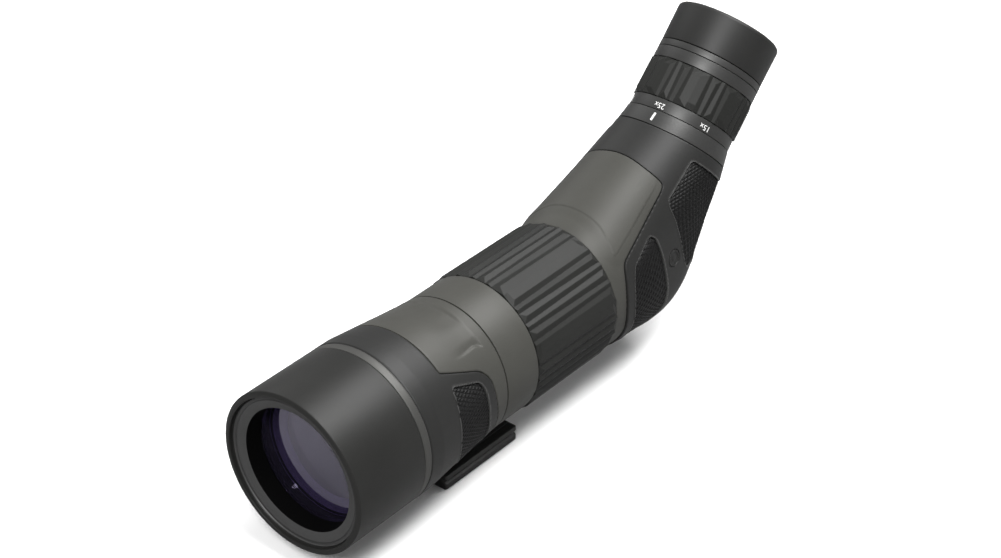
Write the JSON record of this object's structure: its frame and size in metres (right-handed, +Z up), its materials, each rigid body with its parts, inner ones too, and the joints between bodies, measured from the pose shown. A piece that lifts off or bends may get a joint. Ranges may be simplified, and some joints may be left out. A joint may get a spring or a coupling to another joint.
{
  "type": "spotting scope",
  "caption": "Angled spotting scope with a sliding sunshade, barrel focus ring, zoom eyepiece with twist-up eyecup, and a rotating tripod collar with a dovetail foot.",
  "frame": {"origin": "centre of the tripod foot's flat bottom face", "axes": "+X along the barrel towards the objective, +Y to the scope's left, +Z up; the eyepiece points back and up at 45 degrees in the XZ plane"},
  "size_m": [0.3634, 0.0896, 0.168],
  "materials": {
    "grey_metal": "satin warm grey coat",
    "shade_metal": "matte dark grey coat",
    "armour": "smooth matte moulded rubber",
    "grip_rubber": "fine diamond knurl",
    "rib_rubber": "satin faceted ribs",
    "dark_metal": "dark anodised, satin",
    "trim_metal": "brushed grey anodised",
    "black_metal": "black anodised",
    "steel": "turned",
    "brass": "turned",
    "plastic": "moulded acetal",
    "felt": "short black pile",
    "coated_glass": "violet anti-reflection coating",
    "prism_glass": "polished"
  },
  "bodies": {
    "collar": {"tripod_foot": "black_metal", "foot_screw_front": "steel", "foot_screw_rear": "steel", "tripod_thread_insert": "steel", "collar_shell": "grey_metal", "collar_armour": "armour", "collar_grip_left": "grip_rubber", "collar_grip_right": "grip_rubber", "collar_bush_front": "plastic", "collar_bush_rear": "plastic", "lock_pad": "brass"},
    "lock": {"lock_knob": "black_metal", "lock_screw": "steel"},
    "scope": {"objective_tube": "black_metal", "objective_retaining_ring": "black_metal", "objective_front_lens": "coated_glass", "objective_spacer": "black_metal", "objective_rear_lens": "coated_glass", "stray_light_baffle": "black_metal", "trim_ring": "trim_metal", "barrel_ring": "grey_metal", "prism_housing": "grey_metal", "housing_armour": "armour", "side_grip_left": "grip_rubber", "side_grip_right": "grip_rubber", "rear_grip": "grip_rubber", "badge_left": "armour", "badge_right": "armour", "half_penta_prism": "prism_glass", "roof_prism": "prism_glass", "prism_bracket": "black_metal", "index_ring": "dark_metal", "eyepiece_tube": "black_metal", "field_stop": "black_metal", "field_lens": "coated_glass", "eyepiece_stop_ring": "dark_metal", "eye_lens": "coated_glass", "eye_lens_retainer": "black_metal"},
    "sunshade": {"sunshade_tube": "shade_metal", "sunshade_felt_ring": "felt"},
    "focus_ring": {"focus_sleeve": "dark_metal", "focus_grip": "rib_rubber"},
    "focus_cell": {"focus_lens_cell": "black_metal", "focus_lens": "coated_glass", "focus_drive_pin": "steel"},
    "zoom_ring": {"zoom_sleeve": "dark_metal", "zoom_grip": "rib_rubber"},
    "variator": {"variator_cell": "black_metal", "variator_lens": "coated_glass"},
    "compensator": {"compensator_cell": "black_metal", "compensator_lens": "coated_glass"},
    "eyecup_drive": {"eyecup_cam_ring": "plastic"},
    "eyecup": {"eyecup_sleeve": "dark_metal", "eyecup_rubber": "armour"}
  },
  "joints": [
    {"name": "barrel_rotation", "type": "hinge", "parent": "collar", "child": "scope", "pos_m": [0, 0, 0.054], "axis": [1, 0, 0], "continuous": true},
    {"name": "lock_turn", "type": "hinge", "parent": "collar", "child": "lock", "pos_m": [0.011, 0, 0.054], "axis": [0, -1, 0], "range_deg": [0, 270]},
    {"name": "sunshade_slide", "type": "slide", "parent": "scope", "child": "sunshade", "axis": [1, 0, 0], "range_m": [0, 0.03]},
    {"name": "focus_turn", "type": "hinge", "parent": "scope", "child": "focus_ring", "pos_m": [0, 0, 0.054], "axis": [1, 0, 0], "range_deg": [-270, 270]},
    {"name": "focus_travel", "type": "slide", "parent": "scope", "child": "focus_cell", "axis": [-1, 0, 0], "range_m": [-0.009, 0.009]},
    {"name": "zoom_turn", "type": "hinge", "parent": "scope", "child": "zoom_ring", "pos_m": [-0.13395, 0, 0.054], "axis": [-0.7071, 0, 0.7071], "range_deg": [-54, 108]},
    {"name": "variator_travel", "type": "slide", "parent": "scope", "child": "variator", "axis": [-0.7071, 0, 0.7071], "range_m": [-0.0028, 0.0055]},
    {"name": "compensator_travel", "type": "slide", "parent": "scope", "child": "compensator", "axis": [-0.7071, 0, 0.7071], "range_m": [-0.0029, 0.0015]},
    {"name": "eyecup_turn", "type": "hinge", "parent": "scope", "child": "eyecup_drive", "pos_m": [-0.13395, 0, 0.054], "axis": [-0.7071, 0, 0.7071], "range_deg": [0, 90]},
    {"name": "eyecup_travel", "type": "slide", "parent": "eyecup_drive", "child": "eyecup", "axis": [-0.7071, 0, 0.7071], "range_m": [0, 0.01]}
  ],
  "couplings": [
    {"joint": "focus_travel", "follows": "focus_turn", "m_per_rad": 0.0019},
    {"joint": "variator_travel", "follows": "zoom_turn", "m_per_rad": 0.0029},
    {"joint": "compensator_travel", "follows": "zoom_turn", "m_per_rad": -0.0015},
    {"joint": "eyecup_travel", "follows": "eyecup_turn", "m_per_rad": 0.0063}
  ]
}
